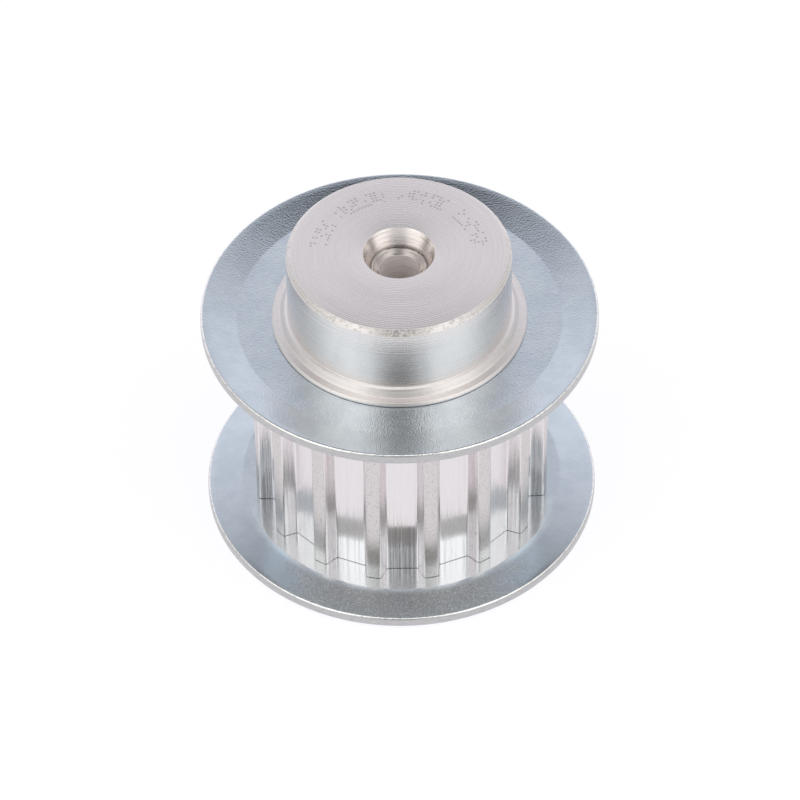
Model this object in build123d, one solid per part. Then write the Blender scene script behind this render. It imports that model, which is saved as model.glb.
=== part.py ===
from build123d import *

import os
from math import hypot, radians, tan

# Timing belt pulley with two flanges and a hub on one side, for an AT5 belt 16 mm wide.
# It is three pieces: one machined aluminium body, and two pressed steel flanges that the
# body's own metal, rolled outwards into a lip, holds against the ends of the teeth.
# Frame: millimetres, +Z along the bore towards the hub, origin on the axis at the base end
# face. A tooth gap faces -Y.

# Lengths along the axis
TOTAL_LENGTH = 27.0
SHOULDER_TOP = 21.0        # where the hub's straight wall starts
TRACK_MIDDLE = 10.34       # half way between the two flanges
TRACK_WIDTH = 17.42        # toothed length between the two flanges

# Teeth: the AT5 gap, with its flat floor and straight flanks
TOOTH_COUNT = 16
TIP_RADIUS = 12.1
GAP_DEPTH = 1.25
GAP_FLOOR_WIDTH = 2.5
GAP_FLANK_ANGLE = 25.0     # each flank, from the gap's middle line
TIP_ROUND = 0.25
ROOT_ROUND = 0.2
FRONT_GAP_ANGLE = -90.0    # direction of the gap that faces -Y

# Flanges: sheet steel rings, flat inside and coned away from the belt outside
SHEET = 0.9
FLANGE_RADIUS = 16.0
FLANGE_HOLE_RADIUS = 10.0
FLANGE_BEND_RADIUS = 13.1  # where the flat ring turns into the cone
FLANGE_CONE_ANGLE = 10.5
FLANGE_BEND_ROUND = 0.6
RIM_ROUND = 0.2

# Rolled lip over each flange, measured outwards from the flange's outer face
LIP_RADIUS = 10.28
LIP_WALL = 0.2
LIP_CROWN_RADIUS = 10.15
LIP_HEIGHT = 0.35
SLOPE_FOOT_RADIUS = 9.6
SLOPE_FOOT_HEIGHT = 0.39
LEDGE_RADIUS = 9.25
LEDGE_HEIGHT = 0.97

# Hub
HUB_RADIUS = 9.0
HUB_CHAMFER = 0.4
BASE_FACE_RADIUS = 9.3

# Pilot bore, opened at each end by a short drill point and a lathe-centre cone
PILOT_RADIUS = 1.65
DRILL_POINT_RADIUS = 2.2
DRILL_POINT_DEPTH = 1.9
CONE_DEPTH = 1.55
MOUTH_RADIUS = 2.875

TRACK_BOTTOM = TRACK_MIDDLE - TRACK_WIDTH / 2
TRACK_TOP = TRACK_MIDDLE + TRACK_WIDTH / 2
BASE_FLANGE_FACE = TRACK_BOTTOM - SHEET
HUB_FLANGE_FACE = TRACK_TOP + SHEET


def turned(points):
    """Revolve a closed outline of (radius, height) points about the pulley's axis."""
    outline = Plane.XZ * make_face(Polyline(*points, close=True))
    return revolve(outline, Axis.Z)


def tooth_gap():
    """One gap between teeth, drawn pointing along +X and running out past the tips."""
    floor_x = TIP_RADIUS - GAP_DEPTH
    mouth_x = TIP_RADIUS + GAP_DEPTH
    half_floor = GAP_FLOOR_WIDTH / 2
    half_mouth = half_floor + (mouth_x - floor_x) * tan(radians(GAP_FLANK_ANGLE))
    corners = [
        (floor_x, -half_floor),
        (floor_x, half_floor),
        (mouth_x, half_mouth),
        (mouth_x, -half_mouth),
    ]
    return make_face(Polyline(*corners, close=True))


def tooth_section():
    """Cross section of the toothed barrel, with rounded tips and rounded gap corners."""
    gap = tooth_gap()
    places = PolarLocations(0, TOOTH_COUNT, start_angle=FRONT_GAP_ANGLE)
    section = Circle(TIP_RADIUS) - [place * gap for place in places]
    root_radius = hypot(TIP_RADIUS - GAP_DEPTH, GAP_FLOOR_WIDTH / 2)
    between = (root_radius + TIP_RADIUS) / 2
    roots = [v for v in section.vertices() if hypot(v.X, v.Y) < between]
    section = fillet(roots, ROOT_ROUND)
    tips = [v for v in section.vertices() if TIP_RADIUS - hypot(v.X, v.Y) < TIP_ROUND / 100]
    return fillet(tips, TIP_ROUND)


def toothed_barrel():
    """The belt track, from flange to flange."""
    return Pos(0, 0, TRACK_BOTTOM) * extrude(tooth_section(), TRACK_WIDTH)


def lip_points(flange_face, outward):
    """Outline of a rolled lip, from under the flange's outer face up to the foot of its slope."""
    return [
        (FLANGE_HOLE_RADIUS, flange_face),
        (LIP_RADIUS, flange_face),
        (LIP_RADIUS, flange_face + outward * LIP_WALL),
        (LIP_CROWN_RADIUS, flange_face + outward * LIP_HEIGHT),
        (SLOPE_FOOT_RADIUS, flange_face + outward * SLOPE_FOOT_HEIGHT),
    ]


def turned_core():
    """Everything that is turned: base end, shoulders, rolled lips and hub."""
    base_side = [(0, 0), (BASE_FACE_RADIUS, 0)] + lip_points(BASE_FLANGE_FACE, -1)[::-1]
    hub_side = lip_points(HUB_FLANGE_FACE, 1) + [
        (LEDGE_RADIUS, HUB_FLANGE_FACE + LEDGE_HEIGHT),
        (HUB_RADIUS, SHOULDER_TOP),
        (HUB_RADIUS, TOTAL_LENGTH - HUB_CHAMFER),
        (HUB_RADIUS - HUB_CHAMFER, TOTAL_LENGTH),
        (0, TOTAL_LENGTH),
    ]
    return turned(base_side + hub_side)


def bore_space():
    """The pilot bore and its two conical mouths, as the space they leave empty."""
    return turned([
        (0, 0),
        (MOUTH_RADIUS, 0),
        (DRILL_POINT_RADIUS, CONE_DEPTH),
        (PILOT_RADIUS, DRILL_POINT_DEPTH),
        (PILOT_RADIUS, TOTAL_LENGTH - DRILL_POINT_DEPTH),
        (DRILL_POINT_RADIUS, TOTAL_LENGTH - CONE_DEPTH),
        (MOUTH_RADIUS, TOTAL_LENGTH),
        (0, TOTAL_LENGTH),
    ])


def pulley_body():
    """The single machined piece."""
    return turned_core() + toothed_barrel() - bore_space()


def flange_ring(inner_face, outward):
    """A flange whose flat ring lies on inner_face and whose cone leans outward (+1 or -1)."""
    rise = (FLANGE_RADIUS - FLANGE_BEND_RADIUS) * tan(radians(FLANGE_CONE_ANGLE))
    corners = [
        (FLANGE_HOLE_RADIUS, 0),
        (FLANGE_BEND_RADIUS, 0),
        (FLANGE_RADIUS, rise),
        (FLANGE_RADIUS, rise + SHEET),
        (FLANGE_BEND_RADIUS, SHEET),
        (FLANGE_HOLE_RADIUS, SHEET),
    ]
    outline = make_face(Polyline(*corners, close=True))
    bends = [v for v in outline.vertices() if abs(v.X - FLANGE_BEND_RADIUS) < RIM_ROUND]
    outline = fillet(bends, FLANGE_BEND_ROUND)
    rims = [v for v in outline.vertices() if abs(v.X - FLANGE_RADIUS) < RIM_ROUND]
    outline = fillet(rims, RIM_ROUND)
    ring = revolve(Plane.XZ * outline, Axis.Z)
    if outward < 0:
        ring = mirror(ring, Plane.XY)
    return Pos(0, 0, inner_face) * ring


def main():
    nodes = {
        "pulley_body": pulley_body(),
        "hub_side_flange": flange_ring(TRACK_TOP, 1),
        "base_side_flange": flange_ring(TRACK_BOTTOM, -1),
    }
    os.makedirs("parts", exist_ok=True)
    for name, shape in nodes.items():
        export_step(shape, f"parts/{name}.step")
        box = shape.bounding_box()
        print(f"{name}: {shape.volume:.1f} mm3, z {box.min.Z:.2f} to {box.max.Z:.2f}, valid {shape.is_valid}")


main()
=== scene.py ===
import math

import bpy
from mathutils import Matrix, Vector


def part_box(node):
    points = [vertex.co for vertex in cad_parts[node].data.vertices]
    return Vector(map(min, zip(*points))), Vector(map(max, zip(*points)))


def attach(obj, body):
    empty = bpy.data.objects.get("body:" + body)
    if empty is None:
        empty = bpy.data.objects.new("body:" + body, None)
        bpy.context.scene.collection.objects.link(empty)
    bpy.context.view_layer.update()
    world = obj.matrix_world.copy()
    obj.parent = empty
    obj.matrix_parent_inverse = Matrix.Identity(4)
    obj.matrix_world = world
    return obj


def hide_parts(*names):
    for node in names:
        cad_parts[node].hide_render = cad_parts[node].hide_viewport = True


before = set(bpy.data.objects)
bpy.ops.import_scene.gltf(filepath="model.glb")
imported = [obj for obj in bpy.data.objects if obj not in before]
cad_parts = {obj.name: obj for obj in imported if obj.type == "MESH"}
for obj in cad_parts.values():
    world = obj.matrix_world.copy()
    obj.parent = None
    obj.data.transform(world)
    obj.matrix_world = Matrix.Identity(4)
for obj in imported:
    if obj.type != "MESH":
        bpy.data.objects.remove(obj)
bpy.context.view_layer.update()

# A timing belt pulley: a turned and toothed aluminium body, and two pressed, zinc-plated flanges.
# Outlines are worked out in millimetres and turned into metres as each mesh is made.
MM = 0.001


# ---------------------------------------------------------------- sizes

# Read from the frame
_, body_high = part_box("pulley_body")
hub_flange_low, hub_flange_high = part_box("hub_side_flange")
_, base_flange_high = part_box("base_side_flange")

TOTAL_LENGTH = body_high.z / MM
TRACK_TOP = hub_flange_low.z / MM
TRACK_BOTTOM = base_flange_high.z / MM
FLANGE_RADIUS = hub_flange_high.x / MM

# Flanges: flat inside FLANGE_BEND_RADIUS and coned outside it
SHEET = 0.9
SHOULDER_RADIUS = 10.0     # of the body's shoulders, which fill the flanges' holes
FLANGE_BEND_RADIUS = 13.1
FLANGE_BEND_ROUND = 0.6
FLANGE_RISE = (hub_flange_high.z - hub_flange_low.z) / MM - SHEET
FLANGE_SLOPE = FLANGE_RISE / (FLANGE_RADIUS - FLANGE_BEND_RADIUS)
RIM_ROUND = 0.2
SHEARED_DEPTH = 0.05       # how far in from the rim the sheared face reaches
HUB_FLANGE_FACE = TRACK_TOP + SHEET
BASE_FLANGE_FACE = TRACK_BOTTOM - SHEET

# Rolled lip over each flange, measured outwards from the flange's outer face
LIP_RADIUS = 10.28
LIP_WALL = 0.2
LIP_CROWN_RADIUS = 10.15
LIP_HEIGHT = 0.35
SLOPE_FOOT_RADIUS = 9.6
SLOPE_FOOT_HEIGHT = 0.39
LEDGE_RADIUS = 9.25
LEDGE_HEIGHT = 0.97

# Hub and base end
SHOULDER_TOP = 21.0
HUB_RADIUS = 9.0
HUB_CHAMFER = 0.4
BASE_FACE_RADIUS = 9.3

# Pilot bore, with a cone and a drill point at each end
MOUTH_RADIUS = 2.875
CONE_DEPTH = 1.55
DRILL_POINT_RADIUS = 2.2
DRILL_POINT_DEPTH = 1.9
PILOT_RADIUS = 1.65

# Teeth
TOOTH_COUNT = 16
TIP_RADIUS = 12.1
GAP_DEPTH = 1.25
GAP_FLOOR_WIDTH = 2.5
GAP_FLANK_ANGLE = math.radians(25.0)
TIP_ROUND = 0.25
ROOT_ROUND = 0.2

# Corner breaks of the turned core, and the fine line where two pieces meet
EDGE_ROUND = 0.05
LIP_FOOT_ROUND = 0.02
LIP_EDGE_ROUND = 0.08
LIP_CROWN_ROUND = 0.1
SLOPE_FOOT_ROUND = 0.12
LEDGE_ROUND = 0.04
HUB_FOOT_ROUND = 0.06
JOINT_GAP = 0.04           # height of the line
JOINT_DEPTH = 0.12         # how far it goes in

# How finely the meshes are cut
TOOTH_ARC_STEPS = 4
CORE_ARC_STEPS = 5
FLANGE_ARC_STEPS = 6
TOOTH_EDGE = 0.24          # longest edge round the teeth
CORE_EDGE = 2.0            # longest edge along the core's section
FLANGE_EDGE = 0.5          # longest edge along a flange's section
FLANGE_COLUMNS = 480
SHARP_ANGLE = math.radians(28)
NEARLY_STRAIGHT = math.radians(88)   # half angle from which a corner is left alone
EDGE_SHARE = 0.48          # the most of an edge that one arc may take
TINY = 0.001               # lengths closer than this count as equal

# Material numbers of the body and of a flange
END_FACE, CHAMFER, HUB_WALL, LIP, TEETH, MOUTH, PILOT = range(7)
PLATED, BURNISHED, SHEARED = range(3)


# ---------------------------------------------------------------- outlines

def corner_arc(here, before, after, radius, steps):
    """Points of the arc that rounds the corner at here. before and after lead to its neighbours."""
    half_angle = before.angle(after) / 2
    reach = min(radius / math.tan(half_angle), before.length * EDGE_SHARE, after.length * EDGE_SHARE)
    radius = reach * math.tan(half_angle)
    inward = (before.normalized() + after.normalized()).normalized()
    centre = here + inward * radius / math.sin(half_angle)
    start = here + before.normalized() * reach - centre
    end = here + after.normalized() * reach - centre
    directions = [start.slerp(end, step / steps).normalized() for step in range(steps + 1)]
    return [tuple(centre + direction * radius) for direction in directions]


def rounded(corners, steps):
    """Replace the corners of a closed outline by arcs. A corner is (x, y, radius)."""
    points = []
    for i, (x, y, radius) in enumerate(corners):
        here = Vector((x, y))
        before = Vector(corners[i - 1][:2]) - here
        after = Vector(corners[(i + 1) % len(corners)][:2]) - here
        if radius <= 0 or before.angle(after) / 2 > NEARLY_STRAIGHT:
            points.append((x, y))
        else:
            points += corner_arc(here, before, after, radius, steps)
    return points


def split_long(points, longest):
    """Add points along the edges of a closed outline, so that none is longer than longest."""
    result = []
    for (x0, y0), (x1, y1) in zip(points, points[1:] + points[:1]):
        pieces = max(1, math.ceil(math.hypot(x1 - x0, y1 - y0) / longest))
        shares = [k / pieces for k in range(pieces)]
        result += [(x0 + (x1 - x0) * share, y0 + (y1 - y0) * share) for share in shares]
    return result


def gap_corners():
    """Corners of one tooth gap drawn towards +X, ending at the middle of the next tooth."""
    floor_x = TIP_RADIUS - GAP_DEPTH
    half_floor = GAP_FLOOR_WIDTH / 2
    slope = math.tan(GAP_FLANK_ANGLE)
    # the flank is the line y = start + slope * x, and it ends on the tip circle
    start = half_floor - slope * floor_x
    a = 1 + slope ** 2
    b = 2 * slope * start
    c = start ** 2 - TIP_RADIUS ** 2
    corner_x = (-b + math.sqrt(b * b - 4 * a * c)) / (2 * a)
    corner_y = start + slope * corner_x
    half_pitch = math.pi / TOOTH_COUNT
    return [
        (corner_x, -corner_y, TIP_ROUND),
        (floor_x, -half_floor, ROOT_ROUND),
        (floor_x, half_floor, ROOT_ROUND),
        (corner_x, corner_y, TIP_ROUND),
        (TIP_RADIUS * math.cos(half_pitch), TIP_RADIUS * math.sin(half_pitch), 0),
    ]


def tooth_outline():
    """Closed outline of the toothed barrel, anticlockwise from the gap that faces -Y."""
    corners = []
    for tooth in range(TOOTH_COUNT):
        turn = tooth * 2 * math.pi / TOOTH_COUNT - math.pi / 2
        cosine = math.cos(turn)
        sine = math.sin(turn)
        for x, y, radius in gap_corners():
            corners.append((x * cosine - y * sine, x * sine + y * cosine, radius))
    return split_long(rounded(corners, TOOTH_ARC_STEPS), TOOTH_EDGE)


def shrunk(outline, distance):
    """The outline moved inwards by distance."""
    moved = []
    for i, (x, y) in enumerate(outline):
        before = outline[i - 1]
        after = outline[(i + 1) % len(outline)]
        along = Vector((after[0] - before[0], after[1] - before[1])).normalized()
        moved.append((x - along.y * distance, y + along.x * distance))
    return moved


def lip_corners(flange_face, outward):
    """Rolled lip in section, from under its edge up to the foot of its slope."""
    return [
        (SHOULDER_RADIUS, flange_face, 0),
        (LIP_RADIUS - JOINT_DEPTH, flange_face, 0),
        (LIP_RADIUS - JOINT_DEPTH, flange_face + outward * JOINT_GAP, 0),
        (LIP_RADIUS, flange_face + outward * JOINT_GAP, LIP_FOOT_ROUND),
        (LIP_RADIUS, flange_face + outward * LIP_WALL, LIP_EDGE_ROUND),
        (LIP_CROWN_RADIUS, flange_face + outward * LIP_HEIGHT, LIP_CROWN_ROUND),
        (SLOPE_FOOT_RADIUS, flange_face + outward * SLOPE_FOOT_HEIGHT, SLOPE_FOOT_ROUND),
    ]


def core_corners():
    """Section of the turned core, from the base mouth out, up the outside and down the bore."""
    base = [
        (MOUTH_RADIUS, 0, EDGE_ROUND),
        (BASE_FACE_RADIUS, 0, EDGE_ROUND),
        *reversed(lip_corners(BASE_FLANGE_FACE, -1)),
        (SHOULDER_RADIUS, TRACK_BOTTOM, 0),
    ]
    hub = [
        (SHOULDER_RADIUS, TRACK_TOP, 0),
        *lip_corners(HUB_FLANGE_FACE, 1),
        (LEDGE_RADIUS, HUB_FLANGE_FACE + LEDGE_HEIGHT, LEDGE_ROUND),
        (HUB_RADIUS, SHOULDER_TOP, HUB_FOOT_ROUND),
        (HUB_RADIUS, TOTAL_LENGTH - HUB_CHAMFER, EDGE_ROUND),
        (HUB_RADIUS - HUB_CHAMFER, TOTAL_LENGTH, EDGE_ROUND),
    ]
    bore = [
        (MOUTH_RADIUS, TOTAL_LENGTH, EDGE_ROUND),
        (DRILL_POINT_RADIUS, TOTAL_LENGTH - CONE_DEPTH, EDGE_ROUND),
        (PILOT_RADIUS, TOTAL_LENGTH - DRILL_POINT_DEPTH, EDGE_ROUND),
        (PILOT_RADIUS, DRILL_POINT_DEPTH, EDGE_ROUND),
        (DRILL_POINT_RADIUS, CONE_DEPTH, EDGE_ROUND),
    ]
    return base + hub + bore


def flange_section(inner_face, outward):
    """Section of a flange whose flat ring lies on inner_face and whose cone leans outward (+1 or -1)."""
    corners = [
        (SHOULDER_RADIUS, 0, 0),
        (FLANGE_BEND_RADIUS, 0, FLANGE_BEND_ROUND),
        (FLANGE_RADIUS, FLANGE_RISE, RIM_ROUND),
        (FLANGE_RADIUS, FLANGE_RISE + SHEET, RIM_ROUND),
        (FLANGE_BEND_RADIUS, SHEET, FLANGE_BEND_ROUND),
        (SHOULDER_RADIUS, SHEET, 0),
    ]
    section = split_long(rounded(corners, FLANGE_ARC_STEPS), FLANGE_EDGE)
    if outward < 0:
        section = [(r, -z) for r, z in reversed(section)]
    return [(r, inner_face + z) for r, z in section]


# ---------------------------------------------------------------- meshes

def ring_mesh(name, rings, parts):
    """A closed mesh from rings of equal length, the last joined to the first.

    parts gives the material number of the band that starts at each ring.
    """
    columns = len(rings[0])
    vertices = [(x * MM, y * MM, z * MM) for ring in rings for x, y, z in ring]
    faces = []
    numbers = []
    for band in range(len(rings)):
        low = band * columns
        high = (band + 1) % len(rings) * columns
        for i in range(columns):
            j = (i + 1) % columns
            faces.append((low + i, low + j, high + j, high + i))
            numbers.append(parts[band])
    mesh = bpy.data.meshes.new(name)
    mesh.from_pydata(vertices, [], faces)
    mesh.polygons.foreach_set("material_index", numbers)
    mesh.shade_smooth()
    mesh.set_sharp_from_angle(angle=SHARP_ANGLE)
    return mesh


def place(name, mesh, materials):
    """Link a finished mesh as an object with its materials."""
    piece = bpy.data.objects.new(name, mesh)
    bpy.context.scene.collection.objects.link(piece)
    for material in materials:
        mesh.materials.append(material)
    return piece


def circle_at(angles, radius, z):
    """A ring of points at the given angles."""
    return [(radius * math.cos(a), radius * math.sin(a), z) for a in angles]


def core_part(r, z):
    """Which finish a band of the turned core has, from the middle of the band."""
    at_an_end = z > TOTAL_LENGTH - 20 * TINY or z < 20 * TINY
    if at_an_end and r > MOUTH_RADIUS:
        return END_FACE
    if r < PILOT_RADIUS + 20 * TINY:
        return PILOT
    if r < MOUTH_RADIUS:
        return MOUTH
    if z > TOTAL_LENGTH - HUB_CHAMFER:
        return CHAMFER
    if z > SHOULDER_TOP - 10 * TINY:
        return HUB_WALL
    return LIP


def tooth_rings(outline):
    """Rings of the toothed barrel, with the fine joint line at each flange."""
    narrow = shrunk(outline, JOINT_DEPTH)
    levels = [
        (narrow, TRACK_BOTTOM),
        (narrow, TRACK_BOTTOM + JOINT_GAP),
        (outline, TRACK_BOTTOM + JOINT_GAP),
        (outline, (TRACK_BOTTOM + TRACK_TOP) / 2),
        (outline, TRACK_TOP - JOINT_GAP),
        (narrow, TRACK_TOP - JOINT_GAP),
        (narrow, TRACK_TOP),
    ]
    return [[(x, y, z) for x, y in shape] for shape, z in levels]


def build_body():
    """The machined body: one closed mesh, round both ends, the bore and the teeth."""
    outline = tooth_outline()
    angles = [math.atan2(y, x) for x, y in outline]
    section = split_long(rounded(core_corners(), CORE_ARC_STEPS), CORE_EDGE)
    rings = []
    parts = []
    for (r0, z0), (r1, z1) in zip(section, section[1:] + section[:1]):
        inside_barrel = r0 > HUB_RADIUS and TRACK_BOTTOM + TINY < z0 < TRACK_TOP - TINY
        if inside_barrel:
            continue
        rings.append(circle_at(angles, r0, z0))
        parts.append(core_part((r0 + r1) / 2, (z0 + z1) / 2))
        at_barrel_foot = abs(z0 - TRACK_BOTTOM) < TINY and z1 > z0
        if at_barrel_foot:
            teeth = tooth_rings(outline)
            rings += teeth
            parts[-1] = TEETH
            parts += [TEETH] * len(teeth)
    return ring_mesh("pulley_body_surface", rings, parts)


def flange_part(r):
    """Which finish a band of a flange has, from its middle radius."""
    if r > FLANGE_RADIUS - SHEARED_DEPTH:
        return SHEARED
    if r > FLANGE_RADIUS - RIM_ROUND:
        return BURNISHED
    return PLATED


def build_flange(name, inner_face, outward):
    """A pressed flange, as a ring mesh."""
    section = flange_section(inner_face, outward)
    angles = [2 * math.pi * i / FLANGE_COLUMNS for i in range(FLANGE_COLUMNS)]
    rings = [circle_at(angles, r, z) for r, z in section]
    middles = [(a[0] + b[0]) / 2 for a, b in zip(section, section[1:] + section[:1])]
    return ring_mesh(name, rings, [flange_part(r) for r in middles])


# ---------------------------------------------------------------- node helpers

class Graph:
    """Short calls for building a node tree. A value is a number, a colour or a node's output."""

    curve_top = 2.0        # the highest level that stops() can give

    def __init__(self, tree):
        self.tree = tree
        self.links = tree.links

    def node(self, kind, **settings):
        made = self.tree.nodes.new(kind)
        for key, value in settings.items():
            setattr(made, key, value)
        return made

    def put(self, socket, value):
        """Link a node's output to a socket, or set the socket to a constant."""
        if isinstance(value, bpy.types.NodeSocket):
            self.links.new(value, socket)
        else:
            socket.default_value = value

    def math(self, operation, a, b=None, c=None):
        made = self.node("ShaderNodeMath", operation=operation)
        for socket, value in zip(made.inputs, (a, b, c)):
            if value is not None:
                self.put(socket, value)
        return made.outputs[0]

    def product(self, *factors):
        total = factors[0]
        for factor in factors[1:]:
            total = self.math("MULTIPLY", total, factor)
        return total

    def add(self, *terms):
        """Sum of (value, weight) pairs."""
        total = 0.0
        for value, weight in terms:
            total = self.math("MULTIPLY_ADD", value, weight, total)
        return total

    def blend(self, a, b, share):
        """a where share is 0, b where it is 1."""
        return self.math("MULTIPLY_ADD", share, self.math("SUBTRACT", b, a), a)

    def combine(self, x, y, z):
        made = self.node("ShaderNodeCombineXYZ")
        for socket, value in zip(made.inputs, (x, y, z)):
            self.put(socket, value)
        return made.outputs[0]

    def split(self, vector):
        made = self.node("ShaderNodeSeparateXYZ")
        self.put(made.inputs[0], vector)
        return made.outputs

    def scale(self, vector, factors):
        made = self.node("ShaderNodeVectorMath", operation="MULTIPLY")
        self.put(made.inputs[0], vector)
        self.put(made.inputs[1], factors)
        return made.outputs[0]

    def noise(self, vector, scale, detail=1.0, rough=0.5):
        made = self.node("ShaderNodeTexNoise")
        self.put(made.inputs["Vector"], vector)
        self.put(made.inputs["Scale"], scale)
        self.put(made.inputs["Detail"], detail)
        self.put(made.inputs["Roughness"], rough)
        return made.outputs[0]

    def ramp(self, value, low, high, at_low=0.0, at_high=1.0):
        """A smooth step from at_low to at_high as value goes from low to high."""
        made = self.node("ShaderNodeMapRange", interpolation_type="SMOOTHSTEP")
        for socket, entry in zip(made.inputs, (value, low, high, at_low, at_high)):
            self.put(socket, entry)
        return made.outputs[0]

    def stops(self, value, longest, levels):
        """A level read from (position, level) stops, where positions run from 0 to longest."""
        made = self.node("ShaderNodeFloatCurve")
        self.put(made.inputs["Value"], self.math("DIVIDE", value, longest))
        curve = made.mapping.curves[0]
        while len(curve.points) < len(levels):
            curve.points.new(0.5, 0.5)
        for point, (position, level) in zip(curve.points, levels):
            point.location = (position / longest, level / self.curve_top)
            point.handle_type = "VECTOR"
        made.mapping.update()
        return self.math("MULTIPLY", made.outputs[0], self.curve_top)

    def mix(self, factor, a, b):
        """Colour a where factor is 0, colour b where it is 1. Sockets 6 and 7 are the colours."""
        made = self.node("ShaderNodeMix", data_type="RGBA")
        self.put(made.inputs[0], factor)
        self.put(made.inputs[6], a)
        self.put(made.inputs[7], b)
        return made.outputs[2]

    def bump(self, height, depth):
        """A normal tilted by height, whose range 0 to 1 stands for depth millimetres."""
        made = self.node("ShaderNodeBump")
        self.put(made.inputs["Distance"], depth * MM)
        self.put(made.inputs["Height"], height)
        return made.outputs[0]


class Place:
    """Where a shading point is, in millimetres and round the axis."""

    def __init__(self, graph):
        coordinates = graph.node("ShaderNodeTexCoord")
        self.point = graph.scale(coordinates.outputs["Object"], (1 / MM, 1 / MM, 1 / MM))
        self.x, self.y, self.z = graph.split(self.point)
        squares = graph.add((graph.product(self.x, self.x), 1.0), (graph.product(self.y, self.y), 1.0))
        self.radius = graph.math("SQRT", squares)
        self.east = graph.math("DIVIDE", self.x, self.radius)
        self.north = graph.math("DIVIDE", self.y, self.radius)
        self.angle = graph.math("ARCTAN2", self.y, self.x)


# ---------------------------------------------------------------- materials

GROOVES_ROUND = 0.25       # tangent turns for grooves round the axis
GROOVES_ALONG = 0.0        # and along it

# Lengths in the finishes, in millimetres
GROOVE_PITCH = 0.17
FEED_PITCH = 0.19
DRILL_RING_PITCH = 0.13
TOOTH_STREAK_DEPTH = 0.012
PEEL_DEPTH = 0.018
SHEARED_NICK_DEPTH = 0.016
BURNISHED_NICK_DEPTH = 0.012

# Noise cells that a groove passes per radian round the axis
GROOVE_DRIFT = 0.9

# Punched dots on the hub's face
DOT_SPACING = 0.3
DOT_COLUMN_RADIUS = 6.4    # where columns are as far apart as rows
DOT_BAND_RADIUS = 6.45
DOT_BAND_HALF_WIDTH = 0.75
DOT_ARC_START = 0.1        # sine of the angle at which the arc starts and ends
DOT_PATCHES = 1.2          # patches per radian
DOT_PATCH_GAP = 0.1        # half the gap between patches, as a share of a patch and its gap
DOT_SEED = 3.0
EMPTY_CELLS = 0.6          # share of the cells in a patch that have no dot

# Colours, as a darker and a lighter tone where there are two
ALUMINIUM = ((0.79, 0.755, 0.745, 1), (0.86, 0.82, 0.81, 1))
WORN_ALUMINIUM = ((0.70, 0.67, 0.66, 1), (0.80, 0.765, 0.755, 1))
BORE_WALL = ((0.78, 0.73, 0.715, 1), (0.94, 0.89, 0.875, 1))
# The drill point's dark tones are painted shade, deep in the bore.
DRILL_POINT_SHADE = ((0.20, 0.18, 0.165, 1), (0.48, 0.44, 0.42, 1))
TOOTH_GAP = ((0.77, 0.732, 0.742, 1), (0.81, 0.77, 0.781, 1))
TOOTH_TIP = ((0.50, 0.45, 0.43, 1), (0.70, 0.667, 0.667, 1))
ZINC = ((0.585, 0.655, 0.715, 1), (0.64, 0.71, 0.765, 1))
# The pitted patch's dark tone is partly painted shade, standing in for a dark reflection towards -Y; its
# grit and roughness are pitting.
PITTED_AND_PAINTED_SHADE_ZINC = ((0.39, 0.405, 0.41, 1), (0.95, 0.95, 0.92, 1))
SHEARED_STEEL = ((0.46, 0.455, 0.46, 1), (0.55, 0.545, 0.545, 1))
BURNISHED_STEEL = ((0.74, 0.75, 0.76, 1), (0.97, 0.97, 0.96, 1))
# A painted reflection: brighter zinc that makes the base flange's flat ring mirror more towards -Y.
PAINTED_REFLECTION_ZINC = (0.88, 0.94, 0.97, 1)
PUNCHED_DOT = (0.30, 0.28, 0.26, 1)
WORN_SPOT = (0.45, 0.43, 0.41, 1)
BURR = (0.10, 0.09, 0.08, 1)


def new_metal(name, anisotropy, grooves):
    """An empty metal material whose highlights are drawn out across its grooves."""
    material = bpy.data.materials.new(name)
    material.use_nodes = True
    graph = Graph(material.node_tree)
    shader = material.node_tree.nodes["Principled BSDF"]
    shader.inputs["Metallic"].default_value = 1.0
    shader.inputs["Anisotropic"].default_value = anisotropy
    shader.inputs["Anisotropic Rotation"].default_value = grooves
    if anisotropy > 0:
        tangent = graph.node("ShaderNodeTangent", direction_type="RADIAL", axis="Z")
        graph.put(shader.inputs["Tangent"], tangent.outputs[0])
    return material, graph, shader


def wire(graph, shader, colour, height, depth, roughness):
    """Give the shader its colour, its bump of depth millimetres and its roughness."""
    graph.put(shader.inputs["Base Color"], colour)
    graph.put(shader.inputs["Normal"], graph.bump(height, depth))
    graph.put(shader.inputs["Roughness"], roughness)


def groove_point(graph, at, across, pitch):
    """Noise coordinates that change slowly round the axis and quickly across the grooves."""
    east = graph.math("MULTIPLY", at.east, GROOVE_DRIFT)
    north = graph.math("MULTIPLY", at.north, GROOVE_DRIFT)
    return graph.combine(east, north, graph.math("DIVIDE", across, pitch))


def turned_grooves(graph, at, across, feed_share):
    """Height terms of turned grooves, the tone of their colour, and the finest of their noises."""
    lines = groove_point(graph, at, across, GROOVE_PITCH)
    fine = graph.noise(lines, 1.0)
    coarse = graph.noise(graph.scale(lines, (0.5, 0.5, 0.3)), 1.0)
    scratches = graph.noise(graph.scale(lines, (2.6, 2.6, 1.3)), 1.0)
    feed = graph.math("SINE", graph.math("MULTIPLY", across, 2 * math.pi / FEED_PITCH))
    # the deeper the feed marks, the shallower the uneven grooves
    uneven = 1.0 - 1.6 * feed_share
    heights = [
        (fine, 0.5 * uneven),
        (coarse, 0.8 * uneven),
        (scratches, 0.5 * uneven),
        (feed, feed_share),
    ]
    tone = graph.ramp(graph.add((fine, 0.4), (scratches, 0.5), (feed, 0.1)), 0.25, 0.65)
    return heights, tone, fine


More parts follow.
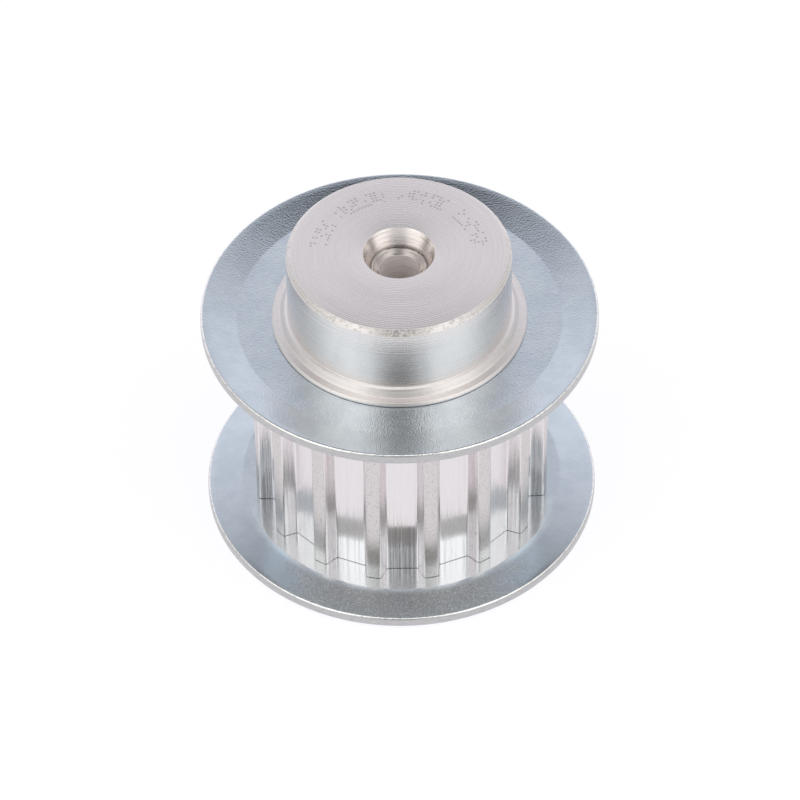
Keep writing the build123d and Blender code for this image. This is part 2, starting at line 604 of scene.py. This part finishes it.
def turned_metal(
    name, colours, along_radius, roughness, depth,
    anisotropy=0.6, feed_share=0.15, dots=0.0, nicks=0.0,
):
    """Bare turned aluminium: even feed marks, uneven grooves and short scratches.

    feed_share is the feed marks' share of the bump. dots and nicks are the depths of punched
    dots and of worn spots, next to the grooves' own.
    """
    material, graph, shader = new_metal(name, anisotropy, GROOVES_ROUND)
    at = Place(graph)
    across = at.radius if along_radius else at.z
    heights, tone, fine = turned_grooves(graph, at, across, feed_share)
    colour = graph.mix(tone, *colours)
    if dots > 0:
        punched = punched_dots(graph, at)
        heights.append((punched, -dots))
        colour = graph.mix(graph.math("MULTIPLY", punched, 0.4), colour, PUNCHED_DOT)
    if nicks > 0:
        worn = graph.ramp(graph.noise(at.point, 2.8, 3.0, 0.7), 0.5, 0.64)
        heights.append((worn, -nicks))
        colour = graph.mix(graph.math("MULTIPLY", worn, 0.45 * nicks), colour, WORN_SPOT)
    uneven_roughness = graph.ramp(fine, 0.3, 0.7, roughness * 0.9, roughness * 1.15)
    wire(graph, shader, colour, graph.add(*heights), depth, uneven_roughness)
    return material


def punched_dots(graph, at):
    """Patches of scattered punched dots on an arc of the hub's face. 1 in a dot, 0 beside it."""
    around = graph.math("MULTIPLY", at.angle, DOT_COLUMN_RADIUS / DOT_SPACING)
    outward = graph.math("DIVIDE", at.radius, DOT_SPACING)
    picked = graph.node("ShaderNodeTexWhiteNoise", noise_dimensions="3D")
    cell = graph.combine(graph.math("FLOOR", around), graph.math("FLOOR", outward), DOT_SEED)
    graph.put(picked.inputs["Vector"], cell)
    dx = graph.math("SUBTRACT", graph.math("FRACT", around), 0.5)
    dy = graph.math("SUBTRACT", graph.math("FRACT", outward), 0.5)
    squares = graph.add((graph.product(dx, dx), 1.0), (graph.product(dy, dy), 1.0))
    patch = graph.math("PINGPONG", graph.math("MULTIPLY", at.angle, DOT_PATCHES), 0.5)
    return graph.product(
        graph.ramp(graph.math("SQRT", squares), 0.18, 0.48, 1.0, 0.0),
        graph.math("GREATER_THAN", picked.outputs["Value"], EMPTY_CELLS),
        graph.math("COMPARE", at.radius, DOT_BAND_RADIUS, DOT_BAND_HALF_WIDTH),
        graph.math("GREATER_THAN", patch, DOT_PATCH_GAP),
        graph.math("GREATER_THAN", at.north, DOT_ARC_START),
        graph.math("GREATER_THAN", at.z, TOTAL_LENGTH / 2),
    )


def drill_point_mask(graph, at, from_end):
    """1 on the drill point, 0 on the cone outside it and on the pilot bore's wall."""
    below_cone = graph.ramp(from_end, CONE_DEPTH - 0.35, CONE_DEPTH - 0.05)
    off_wall = graph.ramp(at.radius, PILOT_RADIUS + 0.005, PILOT_RADIUS + 0.03)
    return graph.product(below_cone, off_wall)


def burr_mask(graph, at, from_end):
    """1 on the broken line of burrs at the foot of the cone."""
    from_foot = graph.math("ABSOLUTE", graph.math("SUBTRACT", from_end, CONE_DEPTH))
    on_line = graph.ramp(from_foot, 0.02, 0.05, 1.0, 0.0)
    broken = graph.ramp(graph.noise(at.point, 2.5, 2.0, 0.6), 0.55, 0.6)
    return graph.product(on_line, broken)


def drilled_metal(name, metallic, roughness, depth):
    """Cut aluminium inside the bore, with rings left by the drill and a drill point darkened by painted
    shade.
    """
    material, graph, shader = new_metal(name, 0.7, GROOVES_ROUND)
    shader.inputs["Metallic"].default_value = metallic
    at = Place(graph)
    lines = groove_point(graph, at, at.z, DRILL_RING_PITCH)
    rings = graph.noise(lines, 1.0, 3.0, 0.7)
    bands = graph.noise(graph.scale(lines, (0.6, 0.6, 0.3)), 1.0)
    grain = graph.noise(at.point, 6.0, 2.0, 0.6)
    height = graph.add((rings, 0.8), (bands, 0.8), (grain, 0.06))
    from_end = graph.math("MINIMUM", at.z, graph.math("SUBTRACT", TOTAL_LENGTH, at.z))
    tone = graph.ramp(rings, 0.40, 0.50)
    wall = graph.mix(tone, *BORE_WALL)
    # painted shade: the drill point deep in the bore is coloured dark
    point = graph.mix(tone, *DRILL_POINT_SHADE)
    colour = graph.mix(drill_point_mask(graph, at, from_end), wall, point)
    colour = graph.mix(burr_mask(graph, at, from_end), colour, BURR)
    uneven_roughness = graph.ramp(grain, 0.3, 0.7, roughness * 0.85, roughness * 1.2)
    wire(graph, shader, colour, height, depth, uneven_roughness)
    return material


def tooth_metal():
    """Drawn and hobbed aluminium, streaked along the teeth, duller on the tips."""
    material, graph, shader = new_metal("tooth_metal", 1.0, GROOVES_ALONG)
    at = Place(graph)
    streaks = graph.noise(graph.scale(at.point, (8.0, 8.0, 0.1)), 1.0, 3.0, 0.7)
    broad = graph.noise(graph.scale(at.point, (2.2, 2.2, 0.08)), 1.0, 2.0)
    speckle = graph.noise(at.point, 8.0, 2.0, 0.6)
    on_tip = graph.ramp(at.radius, TIP_RADIUS - 0.12, TIP_RADIUS - 0.04)
    speckled_tip = graph.product(speckle, graph.ramp(on_tip, 0.0, 1.0, 0.05, 0.9))
    height = graph.add((streaks, 0.9), (broad, 1.2), (speckled_tip, 1.0))
    gap_colour = graph.mix(graph.ramp(streaks, 0.38, 0.62), *TOOTH_GAP)
    tip_colour = graph.mix(graph.ramp(speckle, 0.34, 0.46), *TOOTH_TIP)
    colour = graph.mix(on_tip, gap_colour, tip_colour)
    roughness = graph.blend(graph.ramp(streaks, 0.44, 0.62, 0.13, 0.28), 0.3, on_tip)
    wire(graph, shader, colour, height, TOOTH_STREAK_DEPTH, roughness)
    return material


def zinc_noises(graph, at):
    """The orange peel of zinc plate, its finer grain, and the slow clouds of its colour."""
    peel = graph.noise(at.point, 7.5)
    fine = graph.noise(at.point, 13.0)
    cloud = graph.noise(at.point, 0.45, 3.0, 0.6)
    return peel, fine, cloud


def zinc_colour(graph, cloud):
    return graph.mix(graph.ramp(cloud, 0.35, 0.65), *ZINC)


def zinc_plate():
    """Blue zinc plate on pressed steel, with a fine orange peel."""
    material, graph, shader = new_metal("zinc_plate", 0.0, 0.0)
    at = Place(graph)
    peel, fine, cloud = zinc_noises(graph, at)
    height = graph.add((peel, 0.9), (fine, 0.4))
    roughness = graph.ramp(fine, 0.3, 0.7, 0.10, 0.16)
    wire(graph, shader, zinc_colour(graph, cloud), height, PEEL_DEPTH, roughness)
    return material


def track_side_mask(graph, at):
    """1 on the base flange's side that faces the belt, 0 on its underside."""
    past_bend = graph.math("MAXIMUM", graph.math("SUBTRACT", at.radius, FLANGE_BEND_RADIUS), 0.0)
    level = graph.math("MULTIPLY_ADD", past_bend, FLANGE_SLOPE, at.z)
    return graph.ramp(level, TRACK_BOTTOM - 0.5, TRACK_BOTTOM - 0.3)


def pitting_shade_and_reflection_masks(graph, at, cloud):
    """Where the base flange is pitted and darkened with painted shade, on its cone, and coloured
    brighter as a painted reflection, on its flat ring, both towards -Y.
    """
    towards = graph.math("MULTIPLY_ADD", at.north, -1.0, graph.math("MULTIPLY", cloud, 0.3))
    on_cone = graph.ramp(at.radius, FLANGE_BEND_RADIUS - 0.1, FLANGE_BEND_RADIUS + 0.7)
    on_ring = graph.math("SUBTRACT", 1.0, on_cone)
    track_side = track_side_mask(graph, at)
    # pitting on the cone, with painted shade that is darkest towards -Y
    pits_and_painted_shade = graph.product(graph.ramp(towards, 0.68, 1.12), on_cone, track_side)
    # painted reflection: the flat ring towards -Y is coloured brighter
    painted_reflection = graph.product(graph.ramp(towards, 0.4, 0.85), on_ring, track_side)
    return pits_and_painted_shade, painted_reflection


def pitted_zinc_with_painted_shade_and_reflection():
    """Zinc plate with a pitted patch darkened by painted shade, and a patch coloured brighter as a
    painted reflection.
    """
    material, graph, shader = new_metal("pitted_zinc_with_painted_shade_and_reflection", 0.0, 0.0)
    at = Place(graph)
    peel, fine, cloud = zinc_noises(graph, at)
    pits_and_painted_shade, painted_reflection = pitting_shade_and_reflection_masks(graph, at, cloud)
    grit = graph.noise(at.point, 16.0)
    # the pits' dark tone is partly painted shade
    pits_and_shade_colour = graph.mix(graph.ramp(grit, 0.54, 0.68), *PITTED_AND_PAINTED_SHADE_ZINC)
    # painted reflection on the flat ring
    colour = graph.mix(painted_reflection, zinc_colour(graph, cloud), PAINTED_REFLECTION_ZINC)
    colour = graph.mix(pits_and_painted_shade, colour, pits_and_shade_colour)
    height = graph.add((peel, 0.3), (fine, 0.1), (graph.product(grit, pits_and_painted_shade), 0.5))
    roughness = graph.ramp(pits_and_painted_shade, 0.0, 1.0, 0.14, 0.34)
    wire(graph, shader, colour, height, PEEL_DEPTH, roughness)
    return material


def sheared_edge():
    """The blanked rim of a flange: greyer than its faces, and nicked."""
    material, graph, shader = new_metal("sheared_edge", 0.0, 0.0)
    at = Place(graph)
    nicks = graph.noise(graph.scale(at.point, (0.7, 0.7, 5.0)), 2.6, 3.0, 0.6)
    grain = graph.noise(at.point, 9.0, 2.0, 0.6)
    colour = graph.mix(graph.ramp(nicks, 0.35, 0.6), *SHEARED_STEEL)
    height = graph.add((nicks, 1.0), (grain, 0.3))
    wire(graph, shader, colour, height, SHEARED_NICK_DEPTH, 0.32)
    return material


def burnished_edge():
    """The rounded edge beside the sheared rim: rubbed bright, with fine nicks."""
    material, graph, shader = new_metal("burnished_edge", 0.0, 0.0)
    at = Place(graph)
    nicks = graph.noise(at.point, 4.0, 2.0, 0.6)
    colour = graph.mix(graph.ramp(nicks, 0.35, 0.55), *BURNISHED_STEEL)
    wire(graph, shader, colour, nicks, BURNISHED_NICK_DEPTH, graph.ramp(nicks, 0.3, 0.7, 0.14, 0.2))
    return material


def body_materials():
    """Finishes of the body, in the order of their material numbers."""
    end_face = turned_metal(
        "turned_end_face", ALUMINIUM, along_radius=True, roughness=0.26, depth=0.006,
        feed_share=0.34, dots=1.2,
    )
    chamfer = turned_metal(
        "turned_chamfer", WORN_ALUMINIUM, along_radius=False, roughness=0.3, depth=0.02,
        nicks=0.85,
    )
    hub_wall = turned_metal(
        "turned_hub_wall", ALUMINIUM, along_radius=False, roughness=0.22, depth=0.016,
        anisotropy=0.8,
    )
    lip = turned_metal(
        "rolled_lip", ALUMINIUM, along_radius=True, roughness=0.32, depth=0.012,
        nicks=0.25,
    )
    mouth = drilled_metal("drilled_mouth", metallic=1.0, roughness=0.22, depth=0.007)
    pilot = drilled_metal("drilled_bore", metallic=0.15, roughness=0.34, depth=0.006)
    return [end_face, chamfer, hub_wall, lip, tooth_metal(), mouth, pilot]


# ---------------------------------------------------------------- studio

# Brightness behind the pulley, as (elevation, level) stops in degrees
BACK_LEVELS = [
    (0, 0.80), (20, 0.92), (34, 0.98), (46, 0.77), (55, 0.54),
    (59, 0.36), (62, 0.06), (65, 0.02), (90, 0.02),
]

# Brightness on the camera's side, as (degrees to either side, level) stops, from the floor up
LOW_FRONT_LEVELS = [(0, 0.75), (15, 0.78), (35, 1.1), (55, 1.1), (75, 0.8), (100, 0.65), (180, 0.65)]
MIDDLE_FRONT_LEVELS = [
    (0, 0.24), (8, 0.28), (17, 0.56), (27, 0.92), (40, 1.2),
    (54, 1.0), (75, 0.78), (95, 0.68), (180, 0.66),
]
FRONT_LEVELS = [
    (0, 0.24), (8, 0.28), (17, 0.58), (26, 1.0), (38, 1.38),
    (58, 1.42), (76, 1.28), (95, 0.98), (120, 0.74), (180, 0.72),
]
HIGH_FRONT_LEVELS = [(0, 0.50), (20, 0.68), (40, 1.12), (60, 1.4), (90, 1.2), (120, 0.8), (180, 0.1)]
OVERHEAD_LEVEL = 2.0

# Elevations over which one set of levels gives way to the next
LOW_TO_MIDDLE = (13.0, 24.0)
MIDDLE_TO_FRONT = (27.0, 44.0)
FRONT_TO_HIGH = (48.0, 66.0)
HIGH_TO_OVERHEAD = (78.0, 84.0)

# Degrees to either side over which the camera's side gives way to the back
FRONT_TO_BACK = (100.0, 140.0)

FRONT_TINT = (1.02, 1.015, 0.99, 1)
BACK_TINT = (0.97, 0.965, 1.02, 1)

FLOOR_REACH = 1.5          # metres
FLOOR_DROP = 0.05          # millimetres below the base, so that the two faces do not meet

CAMERA_ELEVATION = math.radians(46.242)
CAMERA_ROLL = math.radians(-0.670)
CAMERA_DISTANCE = 433.4
CAMERA_TARGET = (-0.049, 0.0, 10.10)
CAMERA_LENS = 238.95
CAMERA_SENSOR = 36.0


def front_level(graph, side, elevation):
    """Brightness on the camera's side."""
    low, middle, front, high = [
        graph.stops(side, 180.0, levels)
        for levels in (LOW_FRONT_LEVELS, MIDDLE_FRONT_LEVELS, FRONT_LEVELS, HIGH_FRONT_LEVELS)
    ]
    level = graph.blend(front, high, graph.ramp(elevation, *FRONT_TO_HIGH))
    level = graph.blend(middle, level, graph.ramp(elevation, *MIDDLE_TO_FRONT))
    return graph.blend(low, level, graph.ramp(elevation, *LOW_TO_MIDDLE))


def studio_light():
    """Soft light all round: brighter to each side of the camera and overhead, dark high up behind."""
    world = bpy.data.worlds.new("studio")
    bpy.context.scene.world = world
    world.use_nodes = True
    graph = Graph(world.node_tree)
    coordinates = graph.node("ShaderNodeTexCoord")
    x, y, z = graph.split(coordinates.outputs["Generated"])
    azimuth = graph.math("ARCTAN2", x, graph.math("MULTIPLY", y, -1.0))
    side = graph.math("ABSOLUTE", graph.math("DEGREES", azimuth))
    elevation = graph.math("MAXIMUM", graph.math("DEGREES", graph.math("ARCSINE", z)), 0.0)
    behind = graph.ramp(side, *FRONT_TO_BACK)
    back = graph.stops(elevation, 90.0, BACK_LEVELS)
    level = graph.blend(front_level(graph, side, elevation), back, behind)
    level = graph.blend(level, OVERHEAD_LEVEL, graph.ramp(elevation, *HIGH_TO_OVERHEAD))
    tint = graph.node("ShaderNodeVectorMath", operation="SCALE")
    graph.put(tint.inputs[0], graph.mix(behind, FRONT_TINT, BACK_TINT))
    graph.put(tint.inputs["Scale"], level)
    graph.put(world.node_tree.nodes["Background"].inputs[0], tint.outputs[0])


def pale_floor():
    """The plain white table under the pulley. It glows evenly, so that it stays white."""
    drop = -FLOOR_DROP * MM
    signs = [(-1, -1), (1, -1), (1, 1), (-1, 1)]
    corners = [(x * FLOOR_REACH, y * FLOOR_REACH, drop) for x, y in signs]
    mesh = bpy.data.meshes.new("floor")
    mesh.from_pydata(corners, [], [(0, 1, 2, 3)])
    material = bpy.data.materials.new("white_table")
    material.use_nodes = True
    shader = material.node_tree.nodes["Principled BSDF"]
    shader.inputs["Base Color"].default_value = (0.2, 0.2, 0.2, 1)
    shader.inputs["Roughness"].default_value = 0.9
    shader.inputs["Specular IOR Level"].default_value = 0.0
    shader.inputs["Emission Color"].default_value = (0.97, 0.97, 1.0, 1)
    shader.inputs["Emission Strength"].default_value = 0.87
    floor = place("floor", mesh, [material])


def add_camera():
    """A long lens, looking down at the pulley from the front."""
    target = Vector(CAMERA_TARGET) * MM
    back = Vector((0, -math.cos(CAMERA_ELEVATION), math.sin(CAMERA_ELEVATION)))
    up = Vector((0, math.sin(CAMERA_ELEVATION), math.cos(CAMERA_ELEVATION)))
    right = Vector((1, 0, 0))
    rolled_right = right * math.cos(CAMERA_ROLL) + up * math.sin(CAMERA_ROLL)
    rolled_up = up * math.cos(CAMERA_ROLL) - right * math.sin(CAMERA_ROLL)
    data = bpy.data.cameras.new("camera")
    data.sensor_width = CAMERA_SENSOR
    data.lens = CAMERA_LENS
    data.clip_start = 0.01
    data.clip_end = 20.0
    camera = bpy.data.objects.new("camera", data)
    bpy.context.scene.collection.objects.link(camera)
    axes = Matrix((rolled_right, rolled_up, back)).transposed()
    position = target + back * CAMERA_DISTANCE * MM
    camera.matrix_world = Matrix.Translation(position) @ axes.to_4x4()
    bpy.context.scene.camera = camera


# ---------------------------------------------------------------- the object

def add_body():
    body = place("pulley_body_finish", build_body(), body_materials())
    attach(body, "root")
    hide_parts("pulley_body")


def add_flange(node, inner_face, outward, finishes):
    flange = place(node + "_finish", build_flange(node + "_surface", inner_face, outward), finishes)
    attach(flange, "root")
    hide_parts(node)


def main():
    bpy.context.scene.view_settings.view_transform = "Standard"
    add_camera()
    studio_light()
    pale_floor()
    add_body()
    edges = [burnished_edge(), sheared_edge()]
    add_flange("hub_side_flange", TRACK_TOP, 1, [zinc_plate(), *edges])
    add_flange("base_side_flange", TRACK_BOTTOM, -1, [pitted_zinc_with_painted_shade_and_reflection(), *edges])


main()
